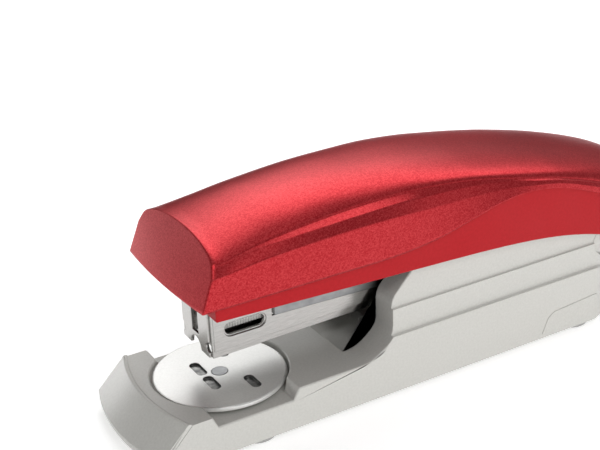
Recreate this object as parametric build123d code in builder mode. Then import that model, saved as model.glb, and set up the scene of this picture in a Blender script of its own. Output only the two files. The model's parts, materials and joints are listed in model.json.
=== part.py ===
from build123d import *
import math
import os

os.makedirs("parts", exist_ok=True)

# ------------------------------------------------------------------ driving dimensions (mm)
# +X points to the stapling end, +Y to the user's left when the stapler points away, +Z up.
nose_x = 77.5  # front of the base
tail_x = -77.5  # back of the cover
ground_gap = 1.0  # the base shell stands this far off the desk, on its feet

pivot_x = -56.0  # hinge pin that carries the magazine and the cover
pivot_z = 23.0
pin_radius = 2.0
running_gap = 0.05  # radial clearance of everything that turns on a pin or post

base_half = 18.3
band_half = 17.3
upper_half = 16.6
tray_top = 11.6
lip_top = 12.0
recess_top = 8.8
lower_ledge = 16.5
upper_ledge = 23.2
housing_top = 36.0
cavity_half = 9.8
hinge_cavity_half = 10.7
cavity_floor = 6.0
base_wall = 2.0
front_bow_radius = 57.0
base_back_x = -66.0

anvil_x = 50.2
anvil_radius = 16.1
anvil_top = 11.0
anvil_thickness = 1.2
post_radius = 2.5
post_head_radius = 2.0
foot_radius = 4.8

magazine_bottom = 19.6
magazine_top = 35.2
magazine_half = 7.7
sheet = 0.8  # steel sheet of the magazine and its carrier
panel_relief = 0.4  # raised panel on each wall of the magazine
head_front_x = 55.6
driver_outer_radius = 110.6  # the driver is an arc about the hinge pin
driver_thickness = 0.7
flange_thickness = 1.2  # front flange of the handle channel that the driver is riveted to

strip_half = 6.45
strip_front_x = 53.2
strip_back_x = 12.6
strip_top = 31.9
strip_leg = 6.3
wire = 0.5

rail_half = 5.75
rail_top = 31.2
rod_z = 26.0
rod_radius = 1.25

carrier_half = 8.55
handle_inner = 8.7
handle_outer = 9.5

shell_half = 20.2
shell_wall = 0.9
face_low = (62.1, 38.4)
face_high = (56.8, 51.8)
skirt_outer = 18.6
skirt_inner = 17.6


def save(part, name):
    """Label a finished piece and write it to its own file."""
    part.label = name
    export_step(part, f"parts/{name}.step")


def across(x):
    """Plane square to the stapler's length at x: local x is Y, local y is Z."""
    return Plane(origin=(x, 0, 0), x_dir=(0, 1, 0), z_dir=(1, 0, 0))


def side(y):
    """Upright lengthwise plane at y, facing +Y: local x is -X, local y is Z."""
    return Plane(origin=(0, y, 0), x_dir=(-1, 0, 0), z_dir=(0, 1, 0))


def slab(x0, x1, y0, y1, z0, z1, mode=Mode.ADD):
    """Plain box between two corners."""
    with Locations(((x0 + x1) / 2, (y0 + y1) / 2, (z0 + z1) / 2)):
        Box(x1 - x0, y1 - y0, z1 - z0, mode=mode)


def profile(points, half, mode=Mode.ADD):
    """Lengthwise outline given as (x, z) points, as thick as the full width 2 * half."""
    with BuildSketch(Plane.XZ) as outline:
        Polygon(*points, align=None)
    extrude(outline.sketch, amount=half, both=True, mode=mode)


def rod(x, z, radius, y0, y1, mode=Mode.ADD):
    """Round bar or hole along Y."""
    with BuildSketch(side(y0)) as end:
        with Locations((-x, z)):
            Circle(radius)
    extrude(end.sketch, amount=y1 - y0, mode=mode)


def post(x, y, radius, z0, z1, mode=Mode.ADD):
    """Round bar or hole along Z."""
    with BuildSketch(Plane.XY.offset(z0)) as end:
        with Locations((x, y)):
            Circle(radius)
    extrude(end.sketch, amount=z1 - z0, mode=mode)


def bar(x0, x1, y, z, radius, mode=Mode.ADD):
    """Round bar or hole along X."""
    with BuildSketch(across(x0)) as end:
        with Locations((y, z)):
            Circle(radius)
    extrude(end.sketch, amount=x1 - x0, mode=mode)


# ------------------------------------------------------------------ base: moulded grey housing
housing_front = (11.9, 19.5)  # where the sweep from the tray meets the upright front edge
housing_back = [
    (-48.0, 35.0),
    (-58.0, 34.0),
    (-66.0, 31.0),
    (-70.6, 26.5),
    (-71.6, 20.0),
    (-70.2, 13.0),
    (base_back_x, cavity_floor),
]
plate_screw_spots = [(63.0, 13.0), (63.0, -13.0), (-20.0, 13.3), (-20.0, -13.3)]
bracket_screw_spots = [(-52.0, 5.5), (-52.0, -5.5)]

with BuildPart() as base_housing:
    # front wall: bowed in plan, flaring out towards the desk
    with BuildSketch(Plane.XZ):
        with BuildLine():
            Line((nose_x - front_bow_radius, ground_gap), (74.3, ground_gap))
            ThreePointArc((74.3, ground_gap), (76.7, 2.2), (nose_x, 4.8))
            Line((nose_x, 4.8), (70.9, lip_top - 0.3))
            ThreePointArc((70.9, lip_top - 0.3), (70.4, lip_top), (69.6, tray_top))
            Line((69.6, tray_top), (nose_x - front_bow_radius, tray_top))
            Line(
                (nose_x - front_bow_radius, tray_top),
                (nose_x - front_bow_radius, ground_gap),
            )
        make_face()
    revolve(axis=Axis((nose_x - front_bow_radius, 0, 0), (0, 0, 1)))
    slab(base_back_x, 30, -base_half, base_half, ground_gap, tray_top)
    with BuildSketch(Plane.XY):
        with Locations(((nose_x + base_back_x) / 2, 0)):
            Rectangle(nose_x - base_back_x + 2, 2 * base_half)
    extrude(amount=lip_top + 1, mode=Mode.INTERSECT)

    # rear housing, stepped inwards at two ledges
    bands = [
        (base_half, cavity_floor, lower_ledge),
        (band_half, lower_ledge, upper_ledge),
        (upper_half, upper_ledge, housing_top),
    ]
    for half, low, high in bands:
        with BuildSketch(Plane.XZ):
            with BuildLine():
                Line((22.0, cavity_floor), (22.0, tray_top))
                Spline(
                    (22.0, tray_top), (16.4, 13.2), (13.0, 15.9), housing_front, tangents=[(-1, 0), (0, 1)]
                )
                Line(housing_front, (11.9, 23.0))
                Spline((11.9, 23.0), (11.1, 26.2), (8.6, 28.9), tangents=[(0, 1), (-1, 1.09)])
                Line((8.6, 28.9), (4.9, 32.9))
                Spline((4.9, 32.9), (1.5, 35.2), (-4.0, housing_top), tangents=[(-1, 1.09), (-1, 0)])
                Line((-4.0, housing_top), housing_back[0])
                Spline(*housing_back)
                Line(housing_back[-1], (22.0, cavity_floor))
            make_face()
            with Locations((-20, (low + high) / 2)):
                Rectangle(120, high - low, mode=Mode.INTERSECT)
        extrude(amount=half, both=True)

    # the back end is narrower, so that the cover can swing down beside it
    for hand in (1, -1):
        with BuildSketch(Plane.XY):
            Polygon(
                (-53, hand * base_half),
                (-57, hand * upper_half),
                (-80, hand * upper_half),
                (-80, hand * 25),
                (-53, hand * 25),
                align=None,
            )
        extrude(amount=50, mode=Mode.SUBTRACT)

    # channel between the walls for the magazine, wider at the hinge
    slab(-41, 8.6, -cavity_half, cavity_half, cavity_floor, 60, mode=Mode.SUBTRACT)
    slab(8.6, 30, -cavity_half, cavity_half, 13.0, 60, mode=Mode.SUBTRACT)
    slab(10.8, 40, -cavity_half, cavity_half, tray_top, 60, mode=Mode.SUBTRACT)
    slab(-68, -41, -hinge_cavity_half, hinge_cavity_half, cavity_floor, 60, mode=Mode.SUBTRACT)

    # lowered band beside the anvil, with slanted ends, and the round anvil seat
    profile([(40.4, recess_top), (59.7, recess_top), (61.6, 12.6), (38.2, 12.6)], 30, Mode.SUBTRACT)
    post(anvil_x, 0, anvil_radius + 0.6, recess_top, 20, Mode.SUBTRACT)

    # hollow underside, divided by the anvil boss and the screw bosses
    slab(30, 69, -base_half + base_wall, base_half - base_wall, 0, 6.6, mode=Mode.SUBTRACT)
    slab(11, 30, -base_half + base_wall, base_half - base_wall, 0, 9.3, mode=Mode.SUBTRACT)
    slab(base_back_x + base_wall, 9, -cavity_half + 1, cavity_half - 1, 0, 4.0, mode=Mode.SUBTRACT)
    slab(-47, 66, -16.3, 16.3, 0, 2.2, mode=Mode.SUBTRACT)
    slab(base_back_x + base_wall, -47, -14.6, 14.6, 0, 2.2, mode=Mode.SUBTRACT)
    for hand in (1, -1):
        low, high = sorted((hand * 11.8, hand * 14.8))
        slab(-46, -25, low, high, 0, 31, mode=Mode.SUBTRACT)
        slab(-15, 8, low, high, 0, 24, mode=Mode.SUBTRACT)
    post(anvil_x, 0, 5.5, 2.6, recess_top)
    for x, y in plate_screw_spots[:2]:
        post(x, y, 3.2, 2.2, 7.0)
    post(anvil_x, 0, post_radius + running_gap, 0, 20, Mode.SUBTRACT)
    post(anvil_x, 0, 4.6, 0, 4.4, Mode.SUBTRACT)
    for x, y in plate_screw_spots:
        post(x, y, 1.25, 0, 6.4, Mode.SUBTRACT)
    for x, y in bracket_screw_spots:
        post(x, y, 1.25, 3, 10, Mode.SUBTRACT)
    post(-18, 0, 1.25, 3, 10, Mode.SUBTRACT)

    # hinge bore, with a shallow seat for a cap at each end
    rod(pivot_x, pivot_z, pin_radius + running_gap, -30, 30, Mode.SUBTRACT)
    for hand in (1, -1):
        y0, y1 = sorted((hand * 15.3, hand * 30))
        rod(pivot_x, pivot_z, 4.0, y0, y1, Mode.SUBTRACT)
save(base_housing.part, "base_housing")

with BuildPart() as base_plate:
    with BuildSketch(Plane.XY.offset(1.2)):
        with Locations((9.5, 0)):
            Rectangle(112.6, 32.2)
        with Locations((-55.3, 0)):
            Rectangle(17.0, 28.8)
        for x, y in plate_screw_spots:
            with Locations((x, y)):
                Circle(1.6, mode=Mode.SUBTRACT)
        with Locations((anvil_x, 0)):
            Circle(5.2, mode=Mode.SUBTRACT)
    extrude(amount=1.0)
save(base_plate.part, "base_plate")

# countersunk self-tapping screws that hold the bottom plate
with BuildPart() as plate_screws:
    for x, y in plate_screw_spots:
        post(x, y, 1.2, 1.0, 6.0)
        post(x, y, 2.6, 0.6, 1.2)
save(plate_screws.part, "plate_screws")

for name, spots in {
    "front_feet": [(48.0, 13.2), (48.0, -13.2)],
    "rear_feet": [(-48.0, 13.2), (-48.0, -13.2)],
}.items():
    with BuildPart() as feet:
        for x, y in spots:
            with BuildSketch(Plane.XY):
                with Locations((x, y)):
                    Circle(foot_radius)
            extrude(amount=ground_gap)
        chamfer(feet.edges().group_by(Axis.Z)[0], 0.3)
    save(feet.part, name)

# ------------------------------------------------------------------ base: hinge hardware
with BuildPart() as hinge_bracket:
    slab(-63, -46, -10.5, 10.5, cavity_floor, cavity_floor + 1.0)
    for hand in (1, -1):
        y0, y1 = sorted((hand * 9.7, hand * 10.5))
        with BuildSketch(side(y0)):
            with BuildLine():
                Line((63, cavity_floor), (46, cavity_floor))
                Line((46, cavity_floor), (-pivot_x - 5.5, pivot_z))
                ThreePointArc(
                    (-pivot_x - 5.5, pivot_z), (-pivot_x, pivot_z + 5.5), (-pivot_x + 5.5, pivot_z)
                )
                Line((-pivot_x + 5.5, pivot_z), (63, cavity_floor))
            make_face()
        extrude(amount=y1 - y0)
    rod(pivot_x, pivot_z, pin_radius + running_gap, -20, 20, Mode.SUBTRACT)
    for x, y in bracket_screw_spots:
        post(x, y, 1.6, 4, 9, Mode.SUBTRACT)
save(hinge_bracket.part, "hinge_bracket")

with BuildPart() as bracket_screws:
    for x, y in bracket_screw_spots:
        post(x, y, 1.2, 3.2, 7.0)
        post(x, y, 2.6, 7.0, 8.4)
save(bracket_screws.part, "bracket_screws")

with BuildPart() as hinge_pin:
    rod(pivot_x, pivot_z, pin_radius, -14.9, 14.9)
    chamfer(hinge_pin.edges().filter_by(GeomType.CIRCLE), 0.3)
save(hinge_pin.part, "hinge_pin")

with BuildPart() as hinge_caps:
    for hand in (1, -1):
        y0, y1 = sorted((hand * 15.4, hand * 16.5))
        rod(pivot_x, pivot_z, 3.9, y0, y1)
save(hinge_caps.part, "hinge_caps")

# leaf that lifts the magazine: flat foot, long rise, rolled tip
with BuildPart() as return_leaf:
    profile(
        [
            (-23.0, 6.05),
            (-13.0, 6.05),
            (-2.0, 12.6),
            (3.6, 18.9),
            (4.6, 18.6),
            (5.0, 19.1),
            (3.5, 19.7),
            (-2.5, 13.1),
            (-13.2, 6.65),
            (-23.0, 6.65),
        ],
        5.5,
    )
    post(-18, 0, 1.6, 5, 8, Mode.SUBTRACT)
save(return_leaf.part, "return_leaf")

with BuildPart() as leaf_rivet:
    post(-18, 0, 1.2, 3.6, 6.7)
    post(-18, 0, 2.6, 6.7, 7.5)
save(leaf_rivet.part, "leaf_rivet")

# ------------------------------------------------------------------ anvil that turns between two clinches
with BuildPart() as anvil_disc:
    with BuildSketch(Plane.XY.offset(anvil_top - anvil_thickness)):
        with Locations((anvil_x, 0)):
            Circle(anvil_radius)
    extrude(amount=anvil_thickness)
    chamfer(anvil_disc.edges().group_by(Axis.Z)[-1], 0.25)
    post(anvil_x, 0, post_head_radius, 0, 20, Mode.SUBTRACT)
    # deep pair that folds the legs in, shallow pair that turns them out
    for x, reach, length in ((anvil_x + 3.9, 3.7, 6.4), (anvil_x - 4.4, 8.4, 6.0)):
        for hand in (1, -1):
            with BuildSketch(Plane.XY.offset(anvil_top - 0.7)):
                with Locations((x, hand * reach)):
                    SlotOverall(length, 2.4, rotation=90)
            extrude(amount=2, mode=Mode.SUBTRACT)
save(anvil_disc.part, "anvil_disc")

with BuildPart() as anvil_post:
    post(anvil_x, 0, post_radius, 3.0, anvil_top - anvil_thickness)
    post(anvil_x, 0, post_head_radius, 5.0, anvil_top + 0.05)
    post(anvil_x, 0, 1.9, 3.0, 3.6)
save(anvil_post.part, "anvil_post")

# thin spring washer under the disc, and the clip on the end of its post
with BuildPart() as anvil_washer:
    with BuildSketch(Plane.XY.offset(recess_top)):
        with Locations((anvil_x, 0)):
            Circle(6.5)
            Circle(2.9, mode=Mode.SUBTRACT)
    extrude(amount=0.7)
save(anvil_washer.part, "anvil_washer")

with BuildPart() as anvil_clip:
    with BuildSketch(Plane.XY.offset(3.4)):
        with Locations((anvil_x, 0)):
            Circle(4.3)
            Circle(2.5, mode=Mode.SUBTRACT)
        with Locations((anvil_x, 3.0)):
            Rectangle(1.6, 5, mode=Mode.SUBTRACT)
    extrude(amount=0.7)
save(anvil_clip.part, "anvil_clip")

# ------------------------------------------------------------------ magazine
with BuildPart() as magazine_channel:
    outline = [
        (-44, 20.2),
        (8, 20.2),
        (55.0, magazine_bottom),
        (55.0, magazine_top),
        (-44, magazine_top),
    ]
    for hand in (1, -1):
        y0, y1 = sorted((hand * (magazine_half - sheet), hand * magazine_half))
        with BuildSketch(side(y0)):
            Polygon(*[(-x, z) for x, z in outline], align=None)
            # sight window over the front of the staple strip
            with Locations((-46.5, 26.1)):
                SlotOverall(10.2, 2.9, mode=Mode.SUBTRACT)
        extrude(amount=y1 - y0)
    slab(-44, 53.3, -magazine_half + sheet, magazine_half - sheet, 20.3, 20.3 + sheet)
    # raised panel on each wall, ending in a slant at the back
    for hand in (1, -1):
        y0, y1 = sorted((hand * magazine_half, hand * (magazine_half + panel_relief)))
        panel = [(54.6, 21.3), (8.1, 22.1), (5.3, 24.9), (5.3, 25.15), (39.5, 26.25), (39.5, 33), (54.6, 33)]
        with BuildSketch(side(y0)):
            Polygon(*[(-x, z) for x, z in panel], align=None)
            with Locations((-46.5, 26.1)):
                SlotOverall(11.0, 3.7, mode=Mode.SUBTRACT)
        extrude(amount=y1 - y0)
save(magazine_channel.part, "magazine_channel")

with BuildPart() as head_plate:
    with BuildSketch(across(head_front_x - sheet)):
        with Locations((0, (magazine_bottom + magazine_top) / 2)):
            Rectangle(13.6, magazine_top - magazine_bottom)
        with Locations((0, 30.5)):
            Rectangle(3.4, 14.0, mode=Mode.SUBTRACT)
        with Locations((0, magazine_bottom)):
            Circle(2.6, mode=Mode.SUBTRACT)
        for hand in (1, -1):
            with Locations((hand * 6.8, 22.2)):
                Circle(1.3, mode=Mode.SUBTRACT)
    extrude(amount=sheet)
save(head_plate.part, "head_plate")

# inverted channel that the staples straddle, slotted along its top for the pusher
with BuildPart() as staple_rail:
    slab(-40, 53.3, -rail_half, rail_half, 21.1, rail_top)
    slab(-41, 52.3, -rail_half + sheet, rail_half - sheet, 20, rail_top - sheet, mode=Mode.SUBTRACT)
    slab(-38, 49, -1.2, 1.2, 29, 33, mode=Mode.SUBTRACT)
save(staple_rail.part, "staple_rail")

with BuildPart() as staple_strip:
    slab(strip_back_x, strip_front_x, -strip_half, strip_half, strip_top - strip_leg, strip_top)
    slab(
        strip_back_x - 1,
        strip_front_x + 1,
        -strip_half + wire,
        strip_half - wire,
        strip_top - strip_leg - 1,
        strip_top - wire,
        mode=Mode.SUBTRACT,
    )
save(staple_strip.part, "staple_strip")

with BuildPart() as guide_rod:
    bar(-43.5, 52.25, 0, rod_z, rod_radius)
save(guide_rod.part, "guide_rod")

with BuildPart() as rail_end_block:
    slab(-43.8, -40.1, -6.8, 6.8, 21.2, 31.0)
    bar(-50, -30, 0, rod_z, rod_radius + 0.02, Mode.SUBTRACT)
save(rail_end_block.part, "rail_end_block")

pusher_front_x = strip_back_x - 0.2
pusher_back_x = pusher_front_x - 8.0
with BuildPart() as pusher:
    slab(pusher_back_x, pusher_front_x, -strip_half, strip_half, 23.5, 34.0)
    slab(pusher_back_x - 1, pusher_front_x + 1, -5.95, 5.95, 20, 31.4, mode=Mode.SUBTRACT)
    slab(pusher_back_x, pusher_front_x, -1.0, 1.0, 28.0, 31.5)
    slab(pusher_back_x, pusher_front_x, -4.5, 4.5, 23.0, 29.0)
    bar(pusher_back_x - 1, pusher_front_x + 1, 0, rod_z, rod_radius + running_gap, Mode.SUBTRACT)
save(pusher.part, "pusher")


def coil(foot, direction, pitch, height, radius, wire_radius):
    """Round-wire helical spring from its foot along the direction."""
    with BuildPart() as spring:
        with BuildLine() as centre_line:
            Helix(pitch, height, radius, center=foot, direction=direction)
        with BuildSketch(Plane(origin=centre_line.line @ 0, z_dir=centre_line.line % 0)):
            Circle(wire_radius)
        sweep(is_frenet=True)
    return spring.part


spring_start = -39.7
spring_length = pusher_back_x - 0.4 - spring_start
pusher_spring = coil((spring_start, 0, rod_z), (1, 0, 0), 2.2, spring_length, 2.2, 0.3)
save(pusher_spring, "pusher_spring")

# steel carrier riveted to the magazine: side arms back to the hinge, tied by a bridge
with BuildPart() as magazine_carrier:
    for hand in (1, -1):
        y0, y1 = sorted((hand * (magazine_half + 0.05), hand * carrier_half))
        with BuildSketch(side(y0)):
            Polygon(
                (-39, 26.35),
                (-39, 34.0),
                (44, 35.2),
                (56, 28.0),
                (50.8, 21.0),
                (46, 21.5),
                (-5, 25.15),
                align=None,
            )
            with Locations((-pivot_x, pivot_z)):
                Circle(5.2)
        extrude(amount=y1 - y0)
    slab(-36, -22, -carrier_half, carrier_half, 35.25, 36.05)
    rod(pivot_x, pivot_z, pin_radius + running_gap, -20, 20, Mode.SUBTRACT)
save(magazine_carrier.part, "magazine_carrier")

with BuildPart() as carrier_rivets:
    for x, z in ((-8, 30), (-34, 30)):
        for hand in (1, -1):
            y0, y1 = sorted((hand * carrier_half, hand * (carrier_half + 0.12)))
            rod(x, z, 1.8, y0, y1)
save(carrier_rivets.part, "carrier_rivets")

with BuildPart() as pivot_bush:
    rod(pivot_x, pivot_z, 3.4, -7.6, 7.6)
    rod(pivot_x, pivot_z, pin_radius + running_gap, -10, 10, Mode.SUBTRACT)
save(pivot_bush.part, "pivot_bush")

with BuildPart() as spring_seat:
    post(-29, 0, 5.4, 36.1, 36.6)
    post(-29, 0, 2.8, 36.6, 38.2)
save(spring_seat.part, "spring_seat")
save(coil((-29, 0, 37.1), (0, 0, 1), 1.6, 5.2, 3.8, 0.4), "cover_spring")

# ------------------------------------------------------------------ cover: steel channel and driver
def arc_band(inner, outer, low, high):
    """Section of a ring about the hinge pin, between two heights, drawn on Plane.XZ."""
    corners = []
    for radius in (inner, outer):
        for z in (low, (low + high) / 2, high):
            reach = math.sqrt(radius**2 - (z - pivot_z) ** 2)
            corners.append((pivot_x + reach, z))
    inner_arc, outer_arc = corners[:3], corners[3:]
    with BuildLine() as outline:
        ThreePointArc(*inner_arc)
        Line(inner_arc[2], outer_arc[2])
        ThreePointArc(*outer_arc)
        Line(outer_arc[0], inner_arc[0])
    make_face(outline.edges())


with BuildPart() as handle_channel:
    for hand in (1, -1):
        y0, y1 = sorted((hand * handle_inner, hand * handle_outer))
        with BuildSketch(side(y0)):
            Polygon(
                (-50.8, 49.8),
                (-50.8, 45.0),
                (20, 35.5),
                (51, 21.0),
                (56, 28.0),
                (50, 41.3),
                align=None,
            )
            with Locations((-pivot_x, pivot_z)):
                Circle(5.2)
        extrude(amount=y1 - y0)
    profile([(52.6, 49.9), (-50, 41.3), (-50, 42.4), (52.6, 51.0)], handle_outer)
    # short flange at the front for the driver
    with BuildSketch(Plane.XZ):
        arc_band(driver_outer_radius + 0.02, driver_outer_radius + flange_thickness, 47.4, 50.6)
    extrude(amount=8.0, both=True)
    rod(pivot_x, pivot_z, pin_radius + running_gap, -20, 20, Mode.SUBTRACT)
    for x in (38.0, -10.0):
        post(x, 0, 1.35, 40, 55, Mode.SUBTRACT)
save(handle_channel.part, "handle_channel")

with BuildPart() as driver_blade:
    with BuildSketch(Plane.XZ):
        arc_band(driver_outer_radius - driver_thickness, driver_outer_radius, 32.3, 49.6)
    extrude(amount=6.3, both=True)
save(driver_blade.part, "driver_blade")

with BuildPart() as driver_rivets:
    for y in (4.0, -4.0):
        bar(52.2, 53.6, y, 48.6, 1.1)
    with BuildSketch(Plane.XZ):
        arc_band(driver_outer_radius - 8.0, driver_outer_radius + flange_thickness + 0.02, 46.0, 51.5)
    extrude(amount=8.0, both=True, mode=Mode.SUBTRACT)
save(driver_rivets.part, "driver_rivets")

# ------------------------------------------------------------------ cover: painted shell
# stations along the shell: x, half width at the hem, shoulder height, crown height
shell_stations = [
    (44.0, 20.2, 47.0, 55.0),
    (28.0, 20.2, 47.8, 56.5),
    (8.0, 20.2, 47.8, 56.3),
    (-14.0, 20.2, 47.0, 54.0),
    (-36.0, 20.2, 45.0, 50.6),
    (-56.0, 20.2, 40.4, 46.2),
    (-68.5, 20.0, 36.0, 42.0),
]
hem_floor = 20.0  # the sections run down to here before the hem is trimmed
shell_bosses = [(38.0, 50.1, 55.0), (-10.0, 46.1, 53.8)]  # x, foot and head of each screw boss


def arch(half, low, shoulder, crown, inset):
    """Closed section of the shell: upright sides, rounded shoulders and a flat arch."""
    w = half - inset
    top = crown - inset
    knee = shoulder - inset * 0.4
    rise = top - knee
    with BuildLine() as outline:
        Line((-w, low), (w, low))
        Line((w, low), (w * 0.975, knee))
        Spline((w * 0.975, knee), (w * 0.80, knee + rise * 0.6), (0, top), tangents=[(-0.1, 1), (-1, 0)])
        Spline((0, top), (-w * 0.80, knee + rise * 0.6), (-w * 0.975, knee), tangents=[(-1, 0), (-0.1, -1)])
        Line((-w * 0.975, knee), (-w, low))
    make_face(outline.edges())


def shell_sections(inset, low):
    """Sections of the shell from the slanted face to the tail, drawn in by inset."""
    run = face_high[0] - face_low[0]
    height = face_high[1] - face_low[1]
    slant = math.hypot(run, height)
    back = inset / (height / slant)
    reach = (low - face_low[1]) / height * slant
    face = Plane(
        origin=(face_low[0] - back, 0, face_low[1]),
        x_dir=(0, 1, 0),
        z_dir=(height, 0, -run),
    )
    sections = []
    with BuildSketch(face) as section:
        arch(shell_half, reach, 7.4, slant, inset)
    sections.append(section.sketch)
    for x, half, shoulder, crown in shell_stations:
        with BuildSketch(across(x)) as section:
            arch(half, low, shoulder, crown, inset)
        sections.append(section.sketch)
    with BuildSketch(across(tail_x + inset)) as section:
        arch(18.0, low, 29.0, 35.0, inset)
    sections.append(section.sketch)
    return sections


hem = [
    (90, 38.4),
    (12.0, 38.4),
    (0.0, 39.9),
    (-10.0, 42.4),
    (-18.5, 44.4),
    (-27.0, 44.9),
    (-38.0, 43.0),
    (-52.0, 38.0),
    (-66.0, 31.5),
    (-74.0, 26.5),
    (-90.0, 24.0),
]
with BuildPart() as top_shell:
    loft(shell_sections(0, hem_floor))
    loft(shell_sections(shell_wall, hem_floor - 4), mode=Mode.SUBTRACT)
    # bosses that take the screws from the steel channel
    for x, low, high in shell_bosses:
        post(x, 0, 3.0, low, high)
        post(x, 0, 1.25, low - 1, high - 1.5, Mode.SUBTRACT)
    with BuildSketch(Plane.XZ):
        with BuildLine():
            Spline(*hem[1:])
            Polyline(hem[-1], (-90, 10), (90, 10), (90, 38.4), (12.0, 38.4))
        make_face()
    extrude(amount=40, both=True, mode=Mode.SUBTRACT)
save(top_shell.part, "top_shell")

# plain inner skirt that shows below the hem of the shell
skirt_low = [(58.6, 34.9), (37.0, 33.9), (11.0, 32.8), (-20.0, 31.4), (-37.0, 29.6), (-52.0, 26.2)]
with BuildPart() as cover_skirt:
    for hand in (1, -1):
        y0, y1 = sorted((hand * skirt_inner, hand * skirt_outer))
        with BuildSketch(side(y0)):
            with BuildLine():
                Spline(*[(-x, z) for x, z in skirt_low])
                Polyline(
                    (52.0, 26.2),
                    (64.0, 23.0),
                    (68.5, 23.4),
                    (68.5, 32.0),
                    (66.0, 33.5),
                    (52.0, 40.0),
                    (38.0, 44.6),
                    (27.0, 46.2),
                    (18.5, 45.8),
                    (0.0, 42.4),
                    (-12.0, 41.4),
                    (-57.0, 41.4),
                    (-58.6, 34.9),
                )
            make_face()
        extrude(amount=y1 - y0)
    # front returns and the narrow bridge that ties them
    slab(57.2, 58.6, -skirt_outer, skirt_outer, 34.9, 42.8)
    slab(56, 60, -9.5, 9.5, 30, 40.2, mode=Mode.SUBTRACT)
save(cover_skirt.part, "cover_skirt")

with BuildPart() as shell_screws:
    for x, low, _ in shell_bosses:
        post(x, 0, 2.6, low - 3.1, low - 1.7)
        post(x, 0, 1.2, low - 1.7, low + 3.0)
save(shell_screws.part, "shell_screws")
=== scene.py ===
import bmesh
import bpy
import json
import math
from mathutils import Matrix, Vector


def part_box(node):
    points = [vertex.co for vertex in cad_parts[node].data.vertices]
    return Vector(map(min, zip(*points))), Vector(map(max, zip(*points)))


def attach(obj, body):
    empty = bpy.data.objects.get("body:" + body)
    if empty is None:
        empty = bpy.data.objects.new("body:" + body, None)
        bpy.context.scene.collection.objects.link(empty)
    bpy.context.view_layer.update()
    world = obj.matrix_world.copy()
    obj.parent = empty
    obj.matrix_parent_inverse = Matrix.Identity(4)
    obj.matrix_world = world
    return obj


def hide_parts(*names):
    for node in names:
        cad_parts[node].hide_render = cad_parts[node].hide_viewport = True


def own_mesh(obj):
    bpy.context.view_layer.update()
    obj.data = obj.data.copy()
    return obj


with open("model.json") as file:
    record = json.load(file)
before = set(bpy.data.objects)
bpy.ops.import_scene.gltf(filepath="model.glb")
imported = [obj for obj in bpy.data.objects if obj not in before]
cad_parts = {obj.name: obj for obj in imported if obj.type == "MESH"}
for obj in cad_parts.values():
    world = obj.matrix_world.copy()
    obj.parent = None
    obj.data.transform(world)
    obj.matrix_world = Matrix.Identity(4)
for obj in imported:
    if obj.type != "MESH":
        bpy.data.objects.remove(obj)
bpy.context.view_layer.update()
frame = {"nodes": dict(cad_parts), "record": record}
mm = 0.001
print("frame loaded:", len(frame["nodes"]), "nodes")


def newFinish(name, look):
    # one recipe for every finish: a two-tone grain, patchy gloss and a fine bump
    material = bpy.data.materials.new(name)
    material.use_nodes = True
    tree = material.node_tree
    nodes, links = tree.nodes, tree.links
    shader = nodes["Principled BSDF"]
    shader.inputs["Metallic"].default_value = look.get("metallic", 0.0)
    shader.inputs["Specular IOR Level"].default_value = look.get("specular", 0.5)
    shader.inputs["Coat Weight"].default_value = look.get("coat", 0.0)
    shader.inputs["Coat Roughness"].default_value = look.get("coatRough", 0.2)
    where = nodes.new("ShaderNodeTexCoord")
    stretch = nodes.new("ShaderNodeMapping")
    stretch.inputs["Scale"].default_value = look.get("stretch", (1, 1, 1))
    links.new(where.outputs["Object"], stretch.inputs["Vector"])

    grain = nodes.new("ShaderNodeTexNoise")
    grain.inputs["Scale"].default_value = look["grainScale"]
    grain.inputs["Detail"].default_value = look.get("grainDetail", 3.0)
    links.new(stretch.outputs["Vector"], grain.inputs["Vector"])
    patches = nodes.new("ShaderNodeTexNoise")
    patches.inputs["Scale"].default_value = look.get("patchScale", 60.0)
    patches.inputs["Detail"].default_value = 2.0
    links.new(where.outputs["Object"], patches.inputs["Vector"])

    tone = nodes.new("ShaderNodeMapRange")
    tone.inputs["From Min"].default_value = 0.3
    tone.inputs["From Max"].default_value = 0.7
    if look.get("flakes"):
        flakes = nodes.new("ShaderNodeTexVoronoi")
        flakes.inputs["Scale"].default_value = look["flakes"]
        links.new(where.outputs["Object"], flakes.inputs["Vector"])
        split = nodes.new("ShaderNodeSeparateColor")
        links.new(flakes.outputs["Color"], split.inputs["Color"])
        links.new(split.outputs["Red"], tone.inputs["Value"])
        tone.inputs["From Min"].default_value = 0.0
        tone.inputs["From Max"].default_value = 1.0
    else:
        links.new(grain.outputs["Fac"], tone.inputs["Value"])
    mix = nodes.new("ShaderNodeMix")
    mix.data_type = "RGBA"
    mix.inputs["A"].default_value = (*look["dark"], 1)
    mix.inputs["B"].default_value = (*look["light"], 1)
    links.new(tone.outputs["Result"], mix.inputs["Factor"])
    links.new(mix.outputs["Result"], shader.inputs["Base Color"])

    gloss = nodes.new("ShaderNodeMapRange")
    gloss.inputs["From Min"].default_value = 0.3
    gloss.inputs["From Max"].default_value = 0.7
    gloss.inputs["To Min"].default_value = look["rough"][0]
    gloss.inputs["To Max"].default_value = look["rough"][1]
    links.new(patches.outputs["Fac"], gloss.inputs["Value"])
    links.new(gloss.outputs["Result"], shader.inputs["Roughness"])

    bump = nodes.new("ShaderNodeBump")
    bump.inputs["Strength"].default_value = look.get("bump", 0.2)
    bump.inputs["Distance"].default_value = look.get("bumpDepth", 0.00004)
    links.new(grain.outputs["Fac"], bump.inputs["Height"])
    links.new(bump.outputs["Normal"], shader.inputs["Normal"])
    return material


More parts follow.
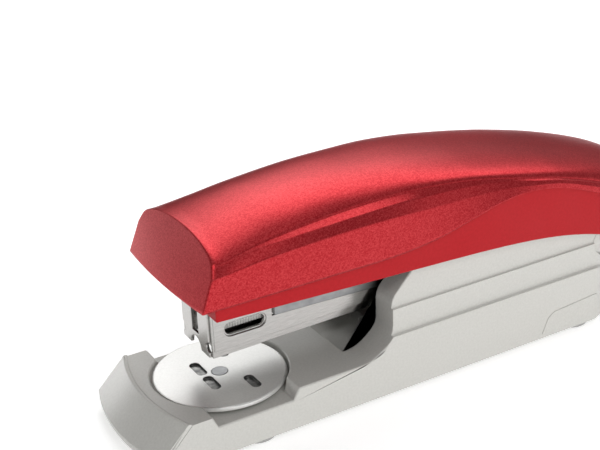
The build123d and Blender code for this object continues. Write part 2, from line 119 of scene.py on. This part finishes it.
finishes = {
    "metallic_red": newFinish("metallicRedLacquer", {
        "dark": (0.38, 0.012, 0.018), "light": (0.55, 0.045, 0.052), "metallic": 0.85,
        "rough": (0.33, 0.38), "specular": 0.3, "coat": 0.05, "coatRough": 0.45,
        "flakes": 4200.0, "grainScale": 2600.0, "bump": 0.22, "bumpDepth": 0.00003}),
    "plain_red": newFinish("plainRedPlastic", {
        "dark": (0.36, 0.005, 0.009), "light": (0.41, 0.007, 0.012), "rough": (0.48, 0.56),
        "specular": 0.2,
        "grainScale": 1400.0, "bump": 0.10}),
    "grey_plastic": newFinish("lightGreyPlastic", {
        "dark": (0.50, 0.495, 0.465), "light": (0.55, 0.545, 0.515), "rough": (0.34, 0.42),
        "grainScale": 1800.0, "bump": 0.20}),
    "black_plastic": newFinish("blackPlastic", {
        "dark": (0.018, 0.018, 0.02), "light": (0.035, 0.035, 0.038), "rough": (0.40, 0.52),
        "grainScale": 1600.0, "bump": 0.25}),
    "nickel_steel": newFinish("nickelPlate", {
        "dark": (0.44, 0.435, 0.42), "light": (0.53, 0.52, 0.505), "metallic": 1.0,
        "rough": (0.20, 0.26), "grainScale": 3600.0, "stretch": (0.10, 1, 1), "bump": 0.03,
        "bumpDepth": 0.00001}),
    "zinc_steel": newFinish("zincPlate", {
        "dark": (0.26, 0.265, 0.27), "light": (0.36, 0.365, 0.37), "metallic": 1.0,
        "rough": (0.28, 0.42), "grainScale": 500.0, "bump": 0.15}),
    "driver_steel": newFinish("bluedDriverSteel", {
        "dark": (0.028, 0.028, 0.032), "light": (0.060, 0.060, 0.066), "metallic": 0.9,
        "rough": (0.30, 0.42), "grainScale": 800.0, "stretch": (1, 1, 0.12), "bump": 0.12}),
    "spring_steel": newFinish("springSteel", {
        "dark": (0.40, 0.40, 0.41), "light": (0.56, 0.56, 0.57), "metallic": 1.0,
        "rough": (0.22, 0.32), "grainScale": 900.0, "bump": 0.10}),
    "screw_steel": newFinish("turnedSteel", {
        "dark": (0.46, 0.46, 0.47), "light": (0.62, 0.62, 0.62), "metallic": 1.0,
        "rough": (0.20, 0.30), "grainScale": 1200.0, "bump": 0.12}),
    "staple_wire": newFinish("stapleWire", {
        "dark": (0.80, 0.79, 0.76), "light": (0.92, 0.91, 0.88), "metallic": 0.35,
        "rough": (0.34, 0.44), "grainScale": 900.0, "stretch": (1, 0.1, 0.1), "bump": 0.12}),
    "discNickel": newFinish("satinNickelDisc", {
        "dark": (0.76, 0.76, 0.74), "light": (0.82, 0.82, 0.80), "metallic": 0.6,
        "rough": (0.32, 0.38), "grainScale": 2400.0, "bump": 0.04, "bumpDepth": 0.00001}),
    # painted shade: a dark steel laid in the disc's clinch pockets, standing in for the shade inside them
    "paintedPocketShade": newFinish("paintedPocketShade", {
        "dark": (0.10, 0.10, 0.10), "light": (0.30, 0.30, 0.29), "metallic": 1.0,
        "rough": (0.22, 0.34), "grainScale": 900.0, "bump": 0.15}),
    "foot_rubber": newFinish("footRubber", {
        "dark": (0.30, 0.30, 0.29), "light": (0.37, 0.37, 0.36), "rough": (0.70, 0.82),
        "specular": 0.3, "grainScale": 1100.0, "bump": 0.35}),
}
slotOf = {p["node"]: p["material_slot"] for p in frame["record"]["subparts"]}
bodyOf = {n: body for body, names in frame["record"]["behaviour"]["bodies"].items() for n in names}
for name, node in frame["nodes"].items():
    node.data.materials.clear()
    node.data.materials.append(finishes[slotOf[name]])
print("finishes on", len(slotOf), "nodes")


def addPiece(name, bm, replaced, smooth=True):
    # turns a bmesh in millimetres into a piece that stands for the CAD nodes named
    bmesh.ops.transform(bm, matrix=Matrix.Scale(mm, 4), verts=bm.verts)
    mesh = bpy.data.meshes.new(name)
    for face in bm.faces:
        face.smooth = smooth
    bm.to_mesh(mesh)
    bm.free()
    piece = bpy.data.objects.new(name, mesh)
    bpy.context.scene.collection.objects.link(piece)
    first = replaced[0]
    piece.data.materials.append(finishes[slotOf[first]])
    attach(piece, bodyOf[first])
    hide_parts(*replaced)
    return piece


rounding = {"angle": 32, "flatten": 0.6, "weld": 0.002, "room": 0.45}  # degrees, degrees, mm, share


def addBevel(piece, width, segments=2):
    # rounds every edge sharper than the set angle, and evens the shading of flat faces
    bevel = piece.modifiers.new("Bevel", "BEVEL")
    bevel.width = width * mm
    bevel.segments = segments
    bevel.profile = 0.5
    bevel.limit_method = "ANGLE"
    bevel.angle_limit = math.radians(rounding["angle"])
    bevel.use_clamp_overlap = False
    even = piece.modifiers.new("EvenNormals", "WEIGHTED_NORMAL")
    even.weight = 80
    even.thresh = 0.02
    return bevel


def soften(name, node, width, segments=2, fitted=False):
    # a CAD part with its flat faces joined up and its edges rounded, less beside short edges if fitted
    bm = bmesh.new()
    bm.from_mesh(frame["nodes"][node].data)
    bmesh.ops.transform(bm, matrix=Matrix.Scale(1 / mm, 4), verts=bm.verts)
    bmesh.ops.remove_doubles(bm, verts=bm.verts, dist=rounding["weld"])
    flat = math.radians(rounding["flatten"])
    bmesh.ops.dissolve_limit(bm, angle_limit=flat, verts=bm.verts, edges=bm.edges)
    if fitted:
        sharp = math.radians(rounding["angle"])
        weight = bm.edges.layers.float.new("bevel_weight_edge")
        for edge in bm.edges:
            if edge.is_manifold and edge.is_convex and edge.calc_face_angle() > sharp:
                room = min(other.calc_length() for vert in edge.verts for other in vert.link_edges)
                edge[weight] = min(1.0, rounding["room"] * room / width)
    piece = addPiece(name, bm, [node])
    bevel = addBevel(piece, width, segments)
    if fitted:
        bevel.limit_method = "WEIGHT"
    return piece


def through(stations, x):
    # smooth value at x of every column of a list of stations that runs from high x to low x
    last = len(stations) - 1
    i = 0
    while i < last - 1 and x < stations[i + 1][0]:
        i += 1
    before, a, b, after = (stations[max(0, min(last, i + k))] for k in (-1, 0, 1, 2))
    t = min(1.0, max(0.0, (a[0] - x) / (a[0] - b[0])))
    span = a[0] - b[0]
    values = []
    for c in range(1, len(a)):
        slopeA = (b[c] - before[c]) / max(1e-6, before[0] - b[0]) * span
        slopeB = (after[c] - a[c]) / max(1e-6, a[0] - after[0]) * span
        values.append(
            (2 * t**3 - 3 * t**2 + 1) * a[c] + (t**3 - 2 * t**2 + t) * slopeA
            + (3 * t**2 - 2 * t**3) * b[c] + (t**3 - t**2) * slopeB
        )
    return values


# cover: arched metallic shell with a folded crease along each side
shell = {
    "wall": 0.9,
    "faceLow": (62.1, 38.4),  # slanted front face, x and z
    "faceHigh": (56.8, 51.8),
    "faceBulge": 1.0,  # how far the face bows forward
    "faceEdge": 0.3,  # how far the first row stands behind the face
    "faceRings": [0, 0.02, 0.06, 0.14, 0.26, 0.4, 0.58, 0.73, 0.85, 0.93, 0.975, 0.992],
    "tail": -77.5,
    "tailRound": 2.2,
    "tailRings": [0.985, 0.93, 0.83, 0.68, 0.5, 0.3, 0.12, 0.04, 0],
    "rows": 96,
    "archSteps": 22,
    # x, crown z, valley y and z, lip y and z, fold y and z, half width at the hem
    "stations": [
        (60.0, 51.6, 17.9, 48.2, 18.2, 47.8, 19.3, 45.8, 19.7),
        (52.0, 53.4, 16.9, 49.3, 17.6, 48.9, 19.3, 46.9, 19.8),
        (44.0, 55.0, 16.4, 50.2, 17.9, 49.5, 19.3, 47.5, 19.85),
        (28.0, 56.5, 15.9, 51.4, 18.2, 50.3, 19.3, 48.0, 19.88),
        (14.0, 56.5, 16.2, 51.9, 18.0, 50.6, 19.0, 47.8, 19.88),
        (4.0, 56.0, 16.9, 51.9, 17.9, 50.4, 18.7, 47.4, 19.88),
        (-8.0, 54.8, 17.5, 51.0, 18.1, 49.9, 18.8, 47.4, 19.88),
        (-18.0, 53.4, 18.1, 49.4, 18.5, 48.8, 19.1, 47.2, 19.88),
        (-27.0, 52.1, 18.6, 47.6, 19.1, 47.2, 19.6, 46.2, 19.88),
        (-38.0, 50.2, 18.8, 45.2, 19.4, 44.9, 19.7, 44.2, 19.88),
        (-52.0, 47.2, 18.7, 40.8, 19.3, 40.4, 19.7, 39.5, 19.88),
        (-66.0, 42.9, 18.5, 34.7, 19.1, 34.3, 19.5, 33.3, 19.7),
        (-74.0, 38.8, 18.1, 30.0, 18.6, 29.6, 19.1, 28.6, 19.2),
        (-77.5, 36.0, 17.6, 28.6, 17.8, 28.1, 18.0, 27.4, 18.2),
    ],
    "hem": [
        (62.0, 38.4), (30.0, 38.4), (12.0, 38.5), (0.0, 39.9), (-10.0, 42.4), (-18.5, 44.4), (-27.0, 44.9),
        (-38.0, 43.0), (-52.0, 38.0), (-66.0, 31.5), (-74.0, 26.9), (-77.5, 25.9),
    ],
}


def shellSection(x):
    # half section at x from the hem up to the crown, as (y, z) points
    crown, valleyY, valleyZ, lipY, lipZ, foldY, foldZ, half = through(shell["stations"], x)
    (hem,) = through(shell["hem"], x)
    front = min(1.0, max(0.0, (x - 30) / 28))
    corners = [(half, hem), (foldY, foldZ), (lipY, lipZ), (valleyY, valleyZ)]
    stops = (  # shares along the hem side, the fold band and the lip
        [0, 0.08, 0.3, 0.55, 0.8, 0.94], [0, 0.06, 0.25, 0.5, 0.75, 0.92], [0, 0.12, 0.4, 0.7, 0.9],
    )
    points = []
    for (y0, z0), (y1, z1), shares in zip(corners, corners[1:], stops):
        points += [(y0 + (y1 - y0) * s, z0 + (z1 - z0) * s) for s in shares]
    steps = shell["archSteps"]
    for k in range(steps + 1):
        turn = math.pi / 2 * (1 - (k / steps) ** 1.15)
        y = valleyY * math.sin(turn) ** 0.88
        z = valleyZ + (crown - valleyZ) * math.cos(turn) ** (1.08 + 0.3 * front)
        points.append((y, z))
    return points


def buildShell():
    # front face rings, then the sections, then rings that close the tail
    (xLow, zLow), (xHigh, zHigh) = shell["faceLow"], shell["faceHigh"]
    faceShares, tailShares = shell["faceRings"], shell["tailRings"]
    columns = 2 * len(shellSection(0)) - 1
    lines = len(faceShares) + shell["rows"] + len(tailShares)
    bm = bmesh.new()
    grid = bmesh.ops.create_grid(bm, x_segments=lines - 1, y_segments=columns - 1, size=1)["verts"]

    def faceX(y, z):
        # slanted face, slightly bowed both ways
        rise = (z - zLow) / (zHigh - zLow)
        bow = (1 - (y / shell["stations"][0][8]) ** 2) * (1 - 0.9 * rise**2)
        return xLow + (xHigh - xLow) * rise + shell["faceBulge"] * bow

    def place(line, column):
        middle = (columns - 1) // 2
        hand = 1 if column <= middle else -1
        index = column if column <= middle else columns - 1 - column
        if line < len(faceShares):
            y, z = shellSection(xLow)[index]
            share = faceShares[line]
            y, z = y * share, zLow + (z - zLow) * share
            return faceX(y, z), hand * y, z
        row = line - len(faceShares)
        tailEdge = shell["tail"] + shell["tailRound"]
        if row < shell["rows"]:
            run = (row / (shell["rows"] - 1)) ** 1.05
            y, z = shellSection(xLow + (tailEdge - xLow) * run)[index]
            front = faceX(y, z)
            x = front + (tailEdge - front) * run
            if row == 0:
                x -= shell["faceEdge"]
            return x, hand * y, z
        share = tailShares[row - shell["rows"]]
        y, z = shellSection(tailEdge)[index]
        (hem,) = through(shell["hem"], tailEdge)
        bow = math.sqrt(max(0.0, 1 - share**3))
        return tailEdge - shell["tailRound"] * bow, hand * y * share, hem + (z - hem) * share

    for vert in grid:
        line = round((1 - vert.co.x) / 2 * (lines - 1))
        column = round((1 - vert.co.y) / 2 * (columns - 1))
        vert.co = place(line, column)
    bmesh.ops.remove_doubles(bm, verts=bm.verts, dist=0.003)
    bmesh.ops.recalc_face_normals(bm, faces=bm.faces)
    top = max(bm.faces, key=lambda f: f.calc_center_median().z)
    if top.normal.z < 0:
        bmesh.ops.reverse_faces(bm, faces=bm.faces)
    piece = addPiece("topShell", bm, ["top_shell"])
    wall = piece.modifiers.new("Wall", "SOLIDIFY")
    wall.thickness = shell["wall"] * mm
    wall.offset = -1
    wall.use_even_offset = True
    wall.use_quality_normals = True


buildShell()
print("shell built")


def addWire(name, replaced, points, radius, sides=6):
    # round wire along points in millimetres, made a mesh
    curve = bpy.data.curves.new(name, "CURVE")
    curve.dimensions = "3D"
    curve.bevel_depth = radius * mm
    curve.bevel_resolution = sides // 2 - 1
    curve.use_fill_caps = True
    spline = curve.splines.new("POLY")
    spline.points.add(len(points) - 1)
    for spot, point in zip(spline.points, points):
        spot.co = (point[0] * mm, point[1] * mm, point[2] * mm, 1)
    holder = bpy.data.objects.new(name + "Line", curve)
    mesh = bpy.data.meshes.new_from_object(holder)
    bpy.data.objects.remove(holder)
    bm = bmesh.new()
    bm.from_mesh(mesh)
    bmesh.ops.transform(bm, matrix=Matrix.Scale(1 / mm, 4), verts=bm.verts)
    bmesh.ops.remove_doubles(bm, verts=bm.verts, dist=0.001)
    bmesh.ops.recalc_face_normals(bm, faces=bm.faces)
    return addPiece(name, bm, [replaced])


def helix(start, end, radius, pitch, wire, closed, perTurn=20):
    # points of a coil from start to end, with closed turns at both ends
    start, end = Vector(start), Vector(end)
    along = (end - start).normalized()
    length = (end - start).length
    sideways = along.orthogonal().normalized()
    other = along.cross(sideways)
    endPitch = 2.1 * wire
    middleTurns = max(1.0, (length - 2 * closed * endPitch) / pitch)
    turns = middleTurns + 2 * closed
    points = []
    for k in range(int(turns * perTurn) + 1):
        turn = k / perTurn
        if turn < closed:
            run = turn * endPitch
        elif turn < closed + middleTurns:
            run = closed * endPitch + (turn - closed) * (length - 2 * closed * endPitch) / middleTurns
        else:
            run = length - (turns - turn) * endPitch
        angle = 2 * math.pi * turn
        points.append(start + along * run + radius * (sideways * math.cos(angle) + other * math.sin(angle)))
    return points


springs = {  # coil radius, wire radius and pitch in mm, closed turns at each end
    "pusherSpring": {"node": "pusher_spring", "radius": 2.2, "wire": 0.3, "pitch": 2.2, "closed": 1.5},
    "coverSpring": {
        "node": "cover_spring", "radius": 3.8, "wire": 0.4, "pitch": 1.2, "closed": 0.75,
        "drop": 2.8,  # it stands at its pressed height, so the channel clears it
    },
}
low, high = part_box("pusher_spring")
look = springs["pusherSpring"]
rodZ = (low.z + high.z) / 2 / mm
pusherSpring = addWire("pusherSpring", look["node"], helix(
    (low.x / mm + look["wire"], 0, rodZ), (high.x / mm - look["wire"], 0, rodZ),
    look["radius"], look["pitch"], look["wire"], look["closed"]), look["wire"])
low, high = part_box("cover_spring")
look = springs["coverSpring"]
seatX = (low.x + high.x) / 2 / mm
top = high.z / mm - look["drop"]
addWire("coverSpring", look["node"], helix(
    (seatX, 0, low.z / mm + look["wire"]), (seatX, 0, top - look["wire"]),
    look["radius"], look["pitch"], look["wire"], look["closed"]), look["wire"])

staples = {"wire": 0.30, "overlap": 0.04, "pitch": 0.7, "corner": 0.7}  # glued, so they overlap a little


def buildStrip():
    # a glued strip: one staple of round wire, repeated along the strip
    low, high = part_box("staple_strip")
    low, high = low / mm, high / mm
    reach = high.y - staples["wire"]
    top = high.z - staples["wire"]
    bm = bmesh.new()
    count = int((high.x - low.x) / staples["pitch"])
    corner = staples["corner"]
    half = [
        (reach, low.z), (reach, top - corner),
        (reach - corner * 0.3, top - corner * 0.3), (reach - corner, top),
    ]
    path = half + [(-y, z) for y, z in reversed(half)]
    for k in range(count):
        x = high.x - (k + 0.5) * staples["pitch"]
        ring = []
        for i, (y, z) in enumerate(path):
            before, after = path[max(0, i - 1)], path[min(len(path) - 1, i + 1)]
            heading = Vector((0, after[0] - before[0], after[1] - before[1])).normalized()
            spin = Vector((0, 0, 1)).rotation_difference(heading).to_matrix().to_4x4()
            made = bmesh.ops.create_circle(
                bm, segments=6, radius=staples["wire"] + staples["overlap"],
                cap_ends=i in (0, len(path) - 1),
                matrix=Matrix.Translation((x, y, z)) @ spin)["verts"]
            edges = [e for e in {e for v in made for e in v.link_edges} if all(v in made for v in e.verts)]
            if ring:
                bmesh.ops.bridge_loops(bm, edges=ring + edges)
            ring = edges
    bmesh.ops.recalc_face_normals(bm, faces=bm.faces)
    addPiece("stapleStrip", bm, ["staple_strip"])


buildStrip()
leaf = soften("returnLeaf", "return_leaf", 0.12, 2)
print("springs and staples built")

# parts that keep their CAD shape, with rounded edges: node, edge radius in mm, segments
softened = {
    "coverSkirt": ("cover_skirt", 0.35, 3),
    "basePlate": ("base_plate", 0.2, 2),
    "frontFeet": ("front_feet", 0.2, 3),
    "rearFeet": ("rear_feet", 0.2, 3),
    "hingeBracket": ("hinge_bracket", 0.15, 2),
    "hingeCaps": ("hinge_caps", 0.3, 3),
    "hingePin": ("hinge_pin", 0.1, 2),
    "anvilDisc": ("anvil_disc", 0.18, 2),
    "anvilPost": ("anvil_post", 0.12, 2),
    "magazineChannel": ("magazine_channel", 0.12, 2),
    "headPlate": ("head_plate", 0.2, 3),
    "stapleRail": ("staple_rail", 0.25, 3),
    "railEndBlock": ("rail_end_block", 0.4, 3),
    "pusherBlock": ("pusher", 0.3, 3),
    "magazineCarrier": ("magazine_carrier", 0.2, 3),
    "carrierRivets": ("carrier_rivets", 0.05, 2),
    "springSeat": ("spring_seat", 0.25, 3),
    "handleChannel": ("handle_channel", 0.25, 3),
    "driverBlade": ("driver_blade", 0.12, 2),
    "driverRivets": ("driver_rivets", 0.2, 3),
}
for pieceName, (node, radius, segments) in softened.items():
    soften(pieceName, node, radius, segments)
soften("baseHousing", "base_housing", 0.5, 3, fitted=True)
post = bpy.data.objects["anvilPost"]
post.data.materials.clear()
post.data.materials.append(finishes["zinc_steel"])
pockets = {"depth": 0.2, "floor": 0.1, "inner": 2.2, "outer": 12.5}  # where the disc's pockets lie, in mm
disc = bpy.data.objects["anvilDisc"]  # the clinch pockets get a darker steel, painted shade in the recesses
disc.data.materials.clear()
disc.data.materials.append(finishes["discNickel"])
disc.data.materials.append(finishes["paintedPocketShade"])
discLow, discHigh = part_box("anvil_disc")
discMiddle = (discLow + discHigh) / 2
for face in disc.data.polygons:
    reach = (face.center - discMiddle).xy.length
    below = discLow.z + pockets["floor"] * mm < face.center.z < discHigh.z - pockets["depth"] * mm
    if below and pockets["inner"] * mm < reach < pockets["outer"] * mm:
        face.material_index = 1
print("softened", len(softened) + 1, "parts")

screws = {  # heads down or up, depth of the cross and of the head in mm
    "plateScrews": {"node": "plate_screws", "down": True, "recess": 0.45, "head": 0.6},
    "bracketScrews": {"node": "bracket_screws", "down": False, "recess": 0.8, "head": 1.4},
    "shellScrews": {"node": "shell_screws", "down": True, "recess": 0.8, "head": 1.4},
}
shank = {
    "radius": 1.2, "tipRadius": 0.7, "tip": 0.5,
    "crossWidth": 0.55, "crossTurn": 0.6, "steps": 32, "edge": 0.04,
}


def crossScrews(name, node, down, recess, head):
    # each CAD screw becomes a turned one: domed head, shank and a cross cut into the head
    source = bmesh.new()
    source.from_mesh(frame["nodes"][node].data)
    bmesh.ops.remove_doubles(source, verts=source.verts, dist=0.000002)
    islands, seen = [], set()
    for start in source.verts:
        if start in seen:
            continue
        heap, island = [start], []
        seen.add(start)
        while heap:
            vert = heap.pop()
            island.append(vert.co / mm)
            for edge in vert.link_edges:
                other = edge.other_vert(vert)
                if other not in seen:
                    seen.add(other)
                    heap.append(other)
        islands.append(island)
    whole = bmesh.new()
    cutters = bmesh.new()
    for island in islands:
        low = Vector([min(p[i] for p in island) for i in range(3)])
        high = Vector([max(p[i] for p in island) for i in range(3)])
        middle = (low + high) / 2
        outer = (high.x - low.x) / 2
        length = high.z - low.z
        flip = Matrix.Rotation(math.pi, 4, "X") if down else Matrix.Identity(4)
        crown = low.z if down else high.z
        place = Matrix.Translation((middle.x, middle.y, crown)) @ flip
        profile = [
            (0, 0), (outer * 0.6, -0.06), (outer * 0.93, -0.16), (outer, -0.3), (outer, -head),
            (shank["radius"], -head), (shank["radius"], -length + shank["tip"]),
            (shank["tipRadius"], -length), (0, -length),
        ]
        verts = [whole.verts.new((r, 0, z)) for r, z in profile]
        edges = [whole.edges.new(pair) for pair in zip(verts, verts[1:])]
        bmesh.ops.spin(
            whole, geom=verts + edges, cent=(0, 0, 0), axis=(0, 0, 1), angle=2 * math.pi,
            steps=shank["steps"], use_merge=True)
        mine = {v for v in whole.verts if not v.tag}
        bmesh.ops.transform(whole, matrix=place, verts=list(mine))
        for vert in mine:
            vert.tag = True
        for turn in (0, math.pi / 2):
            bar = Matrix.Diagonal((outer * 1.1, shank["crossWidth"], recess * 2, 1))
            shape = place @ Matrix.Rotation(turn + shank["crossTurn"], 4, "Z") @ bar
            bmesh.ops.create_cube(cutters, size=1, matrix=shape)
    source.free()
    bmesh.ops.remove_doubles(whole, verts=whole.verts, dist=0.002)
    bmesh.ops.recalc_face_normals(whole, faces=whole.faces)
    piece = addPiece(name, whole, [node])
    bmesh.ops.transform(cutters, matrix=Matrix.Scale(mm, 4), verts=cutters.verts)
    cutterMesh = bpy.data.meshes.new(name + "Cutter")
    cutters.to_mesh(cutterMesh)
    cutters.free()
    cutter = bpy.data.objects.new(name + "Cutter", cutterMesh)
    bpy.context.scene.collection.objects.link(cutter)
    cut = piece.modifiers.new("Cross", "BOOLEAN")
    cut.object = cutter
    cut.use_self = True
    bpy.context.view_layer.update()
    finished = bpy.data.meshes.new_from_object(piece.evaluated_get(bpy.context.evaluated_depsgraph_get()))
    piece.modifiers.clear()
    piece.data = finished
    bpy.data.objects.remove(cutter)
    addBevel(piece, shank["edge"], 1)


for pieceName, look in screws.items():
    crossScrews(pieceName, **look)
print("screws built")

# moulded panel low on each side of the base, near the back
sidePanel = {
    "raise": 0.18,
    "sunk": 0.02,
    "edge": 0.12,
    "outline": [(-34.1, 2.3), (-36.0, 6.6), (-38.0, 7.9), (-52.6, 8.9), (-52.6, 2.3)],
}


def buildPanels():
    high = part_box("base_housing")[1]
    bm = bmesh.new()
    for hand in (1, -1):
        y = hand * (high.y / mm - sidePanel["sunk"])
        verts = [bm.verts.new((x, y, z)) for x, z in sidePanel["outline"]]
        face = bm.faces.new(verts if hand < 0 else verts[::-1])
        out = bmesh.ops.extrude_face_region(bm, geom=[face], use_keep_orig=True)["geom"]
        lifted = [g for g in out if isinstance(g, bmesh.types.BMVert)]
        bmesh.ops.translate(bm, vec=(0, hand * sidePanel["raise"], 0), verts=lifted)
    bmesh.ops.recalc_face_normals(bm, faces=bm.faces)
    mesh = bpy.data.meshes.new("sidePanels")
    bmesh.ops.transform(bm, matrix=Matrix.Scale(mm, 4), verts=bm.verts)
    bm.to_mesh(mesh)
    bm.free()
    piece = bpy.data.objects.new("sidePanels", mesh)
    bpy.context.scene.collection.objects.link(piece)
    mesh.materials.append(finishes["grey_plastic"])
    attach(piece, "base")
    addBevel(piece, sidePanel["edge"], 2)


buildPanels()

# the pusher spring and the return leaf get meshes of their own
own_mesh(pusherSpring)
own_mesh(leaf)

viewpoint = {  # the camera: lens in mm, place in metres, and which way its right and its down point
    "lens": 72,
    "sensor": 36,
    "place": (0.15348, 0.22563, 0.15897),
    "right": (-0.86114, 0.50664, -0.04203),
    "down": (0.24070, 0.33350, -0.91151),
}
camera = bpy.data.cameras.new("camera")
camera.lens = viewpoint["lens"]
camera.sensor_width = viewpoint["sensor"]
camera.clip_start = 0.01
view = bpy.data.objects.new("camera", camera)
bpy.context.scene.collection.objects.link(view)
right = Vector(viewpoint["right"])
down = Vector(viewpoint["down"])
ahead = right.cross(-down) * -1
turn = Matrix((right, -down, -ahead)).transposed().to_4x4()
view.matrix_world = Matrix.Translation(viewpoint["place"]) @ turn
bpy.context.scene.camera = view

studio = {  # floor half size in metres, its tone and glow, and the light from all round
    "floorReach": 2.5,
    "floorTone": 0.92,
    "floorGlow": 0.42,
    "ambient": 0.28,
    "cardTone": 0.02,
}
floorMesh = bpy.data.meshes.new("floor")
floorBm = bmesh.new()
bmesh.ops.create_grid(floorBm, x_segments=1, y_segments=1, size=studio["floorReach"])
floorBm.to_mesh(floorMesh)
floorBm.free()
floor = bpy.data.objects.new("floor", floorMesh)
bpy.context.scene.collection.objects.link(floor)
paper = bpy.data.materials.new("studioPaper")
paper.use_nodes = True
paperShader = paper.node_tree.nodes["Principled BSDF"]
paperShader.inputs["Base Color"].default_value = (*[studio["floorTone"]] * 3, 1)
paperShader.inputs["Roughness"].default_value = 0.9
paperShader.inputs["Emission Color"].default_value = (1, 1, 1, 1)
paperShader.inputs["Emission Strength"].default_value = studio["floorGlow"]
floorMesh.materials.append(paper)

world = bpy.context.scene.world or bpy.data.worlds.new("world")
bpy.context.scene.world = world
world.use_nodes = True
ambient = world.node_tree.nodes["Background"]
ambient.inputs["Color"].default_value = (1, 1, 1, 1)
ambient.inputs["Strength"].default_value = studio["ambient"]

lights = {  # where each lamp stands, what it aims at, its size and power
    "overhead": {"place": (-0.30, -0.20, 0.55), "aim": (-0.05, 0, 0.05), "size": (0.95, 0.34), "power": 2.6},
    "sideSoft": {"place": (0.0, 0.75, 0.16), "aim": (0, 0, 0.03), "size": (0.4, 0.3), "power": 2.4},
    "highSide": {"place": (0.08, 0.5, 0.6), "aim": (0, 0, 0.03), "size": (0.15, 0.15), "power": 0.9},
    "backSoft": {"place": (-0.30, -0.60, 0.46), "aim": (0, 0, 0.03), "size": (0.5, 0.2), "power": 0.45},
    "leftSoft": {"place": (0.27, -0.74, 0.08), "aim": (0.05, 0, 0.04), "size": (0.25, 0.25), "power": 1.6},
    "frontFill": {"place": (0.6, -0.1, 0.35), "aim": (0, 0, 0.03), "size": (0.4, 0.4), "power": 0.10},
}
for name, lamp in lights.items():
    light = bpy.data.lights.new(name, "AREA")
    light.shape = "RECTANGLE"
    light.size, light.size_y = lamp["size"]
    light.energy = lamp["power"]
    stand = bpy.data.objects.new(name, light)
    bpy.context.scene.collection.objects.link(stand)
    stand.visible_camera = False
    stand.visible_glossy = name != "sideSoft"  # it would draw a hard line along the cover's fold
    stand.location = lamp["place"]
    stand.rotation_euler = (Vector(lamp["aim"]) - Vector(lamp["place"])).to_track_quat("-Z", "Y").to_euler()

# a dark card reflected along the top of the cover, not seen itself
flagMesh = bpy.data.meshes.new("darkCard")
flagBm = bmesh.new()
bmesh.ops.create_grid(flagBm, x_segments=1, y_segments=1, size=0.5)
bmesh.ops.scale(flagBm, vec=(1.6, 0.26, 1), verts=flagBm.verts)
bmesh.ops.rotate(flagBm, matrix=Matrix.Rotation(math.pi / 2, 3, "X"), verts=flagBm.verts)
bmesh.ops.translate(flagBm, vec=(-0.4, -0.45, 0.06), verts=flagBm.verts)
flagBm.to_mesh(flagMesh)
flagBm.free()
flag = bpy.data.objects.new("darkCard", flagMesh)
bpy.context.scene.collection.objects.link(flag)
card = bpy.data.materials.new("darkCard")
card.use_nodes = True
cardShader = card.node_tree.nodes["Principled BSDF"]
cardShader.inputs["Base Color"].default_value = (*[studio["cardTone"]] * 3, 1)
cardShader.inputs["Roughness"].default_value = 1.0
flagMesh.materials.append(card)
flag.visible_camera = False
flag.visible_diffuse = False
flag.visible_shadow = False
bpy.context.scene.view_settings.view_transform = "Standard"
print("stage set")
